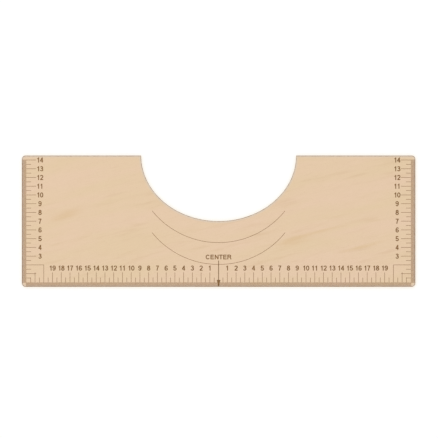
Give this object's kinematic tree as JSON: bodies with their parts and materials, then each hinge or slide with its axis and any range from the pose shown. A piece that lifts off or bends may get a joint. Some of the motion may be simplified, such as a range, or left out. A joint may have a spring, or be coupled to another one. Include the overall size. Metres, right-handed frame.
{
  "type": "t-shirt ruler",
  "caption": "Flat plywood template with a half-oval neck cut-out, engraved centimetre scales and a centre line, for placing a design on a shirt.",
  "frame": {"origin": "centre of the underside of the board", "axes": "+Z out of the engraved face, +Y towards the neck cut-out, +X along the lower scale to the reader's right"},
  "size_m": [0.45, 0.15, 0.003],
  "materials": {
    "face_veneer": "sanded pale veneer with fine figure, engraved lines burnt brown",
    "core_veneer": "cross-grained veneer that shows only at the scorched cut edge",
    "back_veneer": "sanded pale veneer, plain",
    "glue": "hard brown glue film that shows as a thin line at the edge"
  },
  "bodies": {
    "root": {"back_veneer": "back_veneer", "lower_glue_line": "glue", "core_veneer": "core_veneer", "upper_glue_line": "glue", "face_veneer": "face_veneer"}
  },
  "joints": []
}
